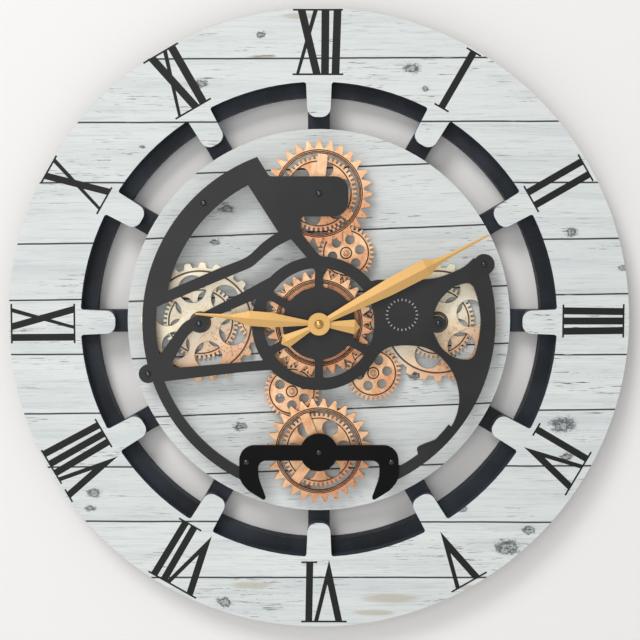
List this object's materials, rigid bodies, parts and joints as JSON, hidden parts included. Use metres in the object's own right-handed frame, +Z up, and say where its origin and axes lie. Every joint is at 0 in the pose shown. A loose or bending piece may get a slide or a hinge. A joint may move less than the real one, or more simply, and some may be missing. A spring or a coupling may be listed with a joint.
{
  "type": "wall clock with open gears",
  "caption": "Round wall clock: numeral board with tabs over a black spoked frame, a disc with an open turning gear train, two black front plates and long gold hands",
  "frame": {"origin": "on the wall behind the middle of the hands", "axes": "+Z up, the dial faces -Y, +X to the viewer's right"},
  "size_m": [0.5999, 0.0627, 0.6],
  "materials": {
    "printed_board": "printed and matt lacquered fibreboard",
    "printed_disc": "printed and matt lacquered fibreboard",
    "black_board": "matt black paint on fibreboard",
    "front_black": "satin black",
    "bracket_black": "satin black",
    "copper": "antique copper plating on plastic",
    "champagne": "champagne gold plating on plastic",
    "hand_gold": "gold anodised",
    "arbor_brass": "polished",
    "steel": "plain",
    "collar_dark": "dark brown",
    "black_screw": "blackened",
    "case_plastic": "black",
    "battery": "plain dark wrap",
    "felt": "felt"
  },
  "bodies": {
    "clock": {"dial_board": "printed_board", "spoked_frame": "black_board", "inner_disc": "printed_disc", "front_plate": "front_black", "lower_bracket": "bracket_black", "plate_spacers": "collar_dark", "bracket_spacers": "collar_dark", "plate_screws": "black_screw", "bracket_screws": "black_screw", "plate_axle_screws": "black_screw", "bottom_axle_screw": "black_screw", "gear_axles": "steel", "axle_collars": "collar_dark", "small_gear_pins": "steel", "idler_pins": "steel", "centre_sleeve": "arbor_brass", "centre_spacer": "arbor_brass", "plate_nut": "arbor_brass", "movement_case": "case_plastic", "clock_battery": "battery", "drive_case": "case_plastic", "drive_batteries": "battery", "drive_screws": "steel", "frame_screws": "steel", "hanger_plate": "steel", "hanger_screws": "steel", "wall_pads": "felt"},
    "centre_train": {"centre_drive_gear": "copper", "centre_ring_gear": "copper"},
    "top_train": {"top_fine_gear": "copper", "top_ring_gear": "copper"},
    "bottom_train": {"bottom_fine_gear": "copper", "bottom_ring_gear": "copper"},
    "left_train": {"left_fine_gear": "copper", "left_wheel": "champagne"},
    "right_train": {"right_fine_gear": "copper", "right_wheel": "champagne"},
    "upper_small": {"upper_small_gear": "copper"},
    "right_small": {"right_small_gear": "copper"},
    "lower_small": {"lower_small_gear": "copper"},
    "left_idler": {"left_idler": "copper"},
    "right_idler": {"right_idler": "copper"},
    "motor_pinion": {"motor_pinion": "copper"},
    "hour": {"hour_tube": "arbor_brass", "hour_hand": "hand_gold"},
    "minute": {"minute_shaft": "steel", "setting_knob": "case_plastic", "minute_hand": "hand_gold", "hand_nut": "arbor_brass"}
  },
  "joints": [
    {"name": "centre_turn", "type": "hinge", "parent": "clock", "child": "centre_train", "pos_m": [0, -0.033, 0], "axis": [0, 1, 0], "continuous": true},
    {"name": "top_train_turn", "type": "hinge", "parent": "clock", "child": "top_train", "pos_m": [0, -0.036, 0.124], "axis": [0, 1, 0], "continuous": true},
    {"name": "bottom_train_turn", "type": "hinge", "parent": "clock", "child": "bottom_train", "pos_m": [0, -0.036, -0.124], "axis": [0, 1, 0], "continuous": true},
    {"name": "left_train_turn", "type": "hinge", "parent": "clock", "child": "left_train", "pos_m": [-0.11475, -0.036, 0], "axis": [0, 1, 0], "continuous": true},
    {"name": "right_train_turn", "type": "hinge", "parent": "clock", "child": "right_train", "pos_m": [0.11475, -0.036, 0], "axis": [0, 1, 0], "continuous": true},
    {"name": "upper_small_turn", "type": "hinge", "parent": "clock", "child": "upper_small", "pos_m": [0.02616, -0.036, 0.06698], "axis": [0, 1, 0], "continuous": true},
    {"name": "right_small_turn", "type": "hinge", "parent": "clock", "child": "right_small", "pos_m": [0.05259, -0.036, -0.04904], "axis": [0, 1, 0], "continuous": true},
    {"name": "lower_small_turn", "type": "hinge", "parent": "clock", "child": "lower_small", "pos_m": [-0.02616, -0.036, -0.06698], "axis": [0, 1, 0], "continuous": true},
    {"name": "left_idler_turn", "type": "hinge", "parent": "clock", "child": "left_idler", "pos_m": [-0.06196, -0.036, 0], "axis": [0, 1, 0], "continuous": true},
    {"name": "right_idler_turn", "type": "hinge", "parent": "clock", "child": "right_idler", "pos_m": [0.06196, -0.036, 0], "axis": [0, 1, 0], "continuous": true},
    {"name": "motor_pinion_turn", "type": "hinge", "parent": "clock", "child": "motor_pinion", "pos_m": [-0.03895, -0.036, -0.03895], "axis": [0, 1, 0], "continuous": true},
    {"name": "hour_turn", "type": "hinge", "parent": "clock", "child": "hour", "pos_m": [0, -0.0563, 0], "axis": [0, 1, 0], "continuous": true},
    {"name": "minute_turn", "type": "hinge", "parent": "clock", "child": "minute", "pos_m": [0, -0.0589, 0], "axis": [0, 1, 0], "continuous": true}
  ],
  "couplings": [
    {"joint": "top_train_turn", "follows": "centre_turn", "ratio": 1.25},
    {"joint": "bottom_train_turn", "follows": "centre_turn", "ratio": 1.25},
    {"joint": "left_train_turn", "follows": "centre_turn", "ratio": 1.25},
    {"joint": "right_train_turn", "follows": "centre_turn", "ratio": 1.25},
    {"joint": "upper_small_turn", "follows": "centre_turn", "ratio": -1.7647},
    {"joint": "right_small_turn", "follows": "centre_turn", "ratio": -1.7647},
    {"joint": "lower_small_turn", "follows": "centre_turn", "ratio": -1.7647},
    {"joint": "left_idler_turn", "follows": "centre_turn", "ratio": -2.8571},
    {"joint": "right_idler_turn", "follows": "centre_turn", "ratio": -2.8571},
    {"joint": "motor_pinion_turn", "follows": "centre_turn", "ratio": -5},
    {"joint": "hour_turn", "follows": "minute_turn", "ratio": 0.083333}
  ]
}
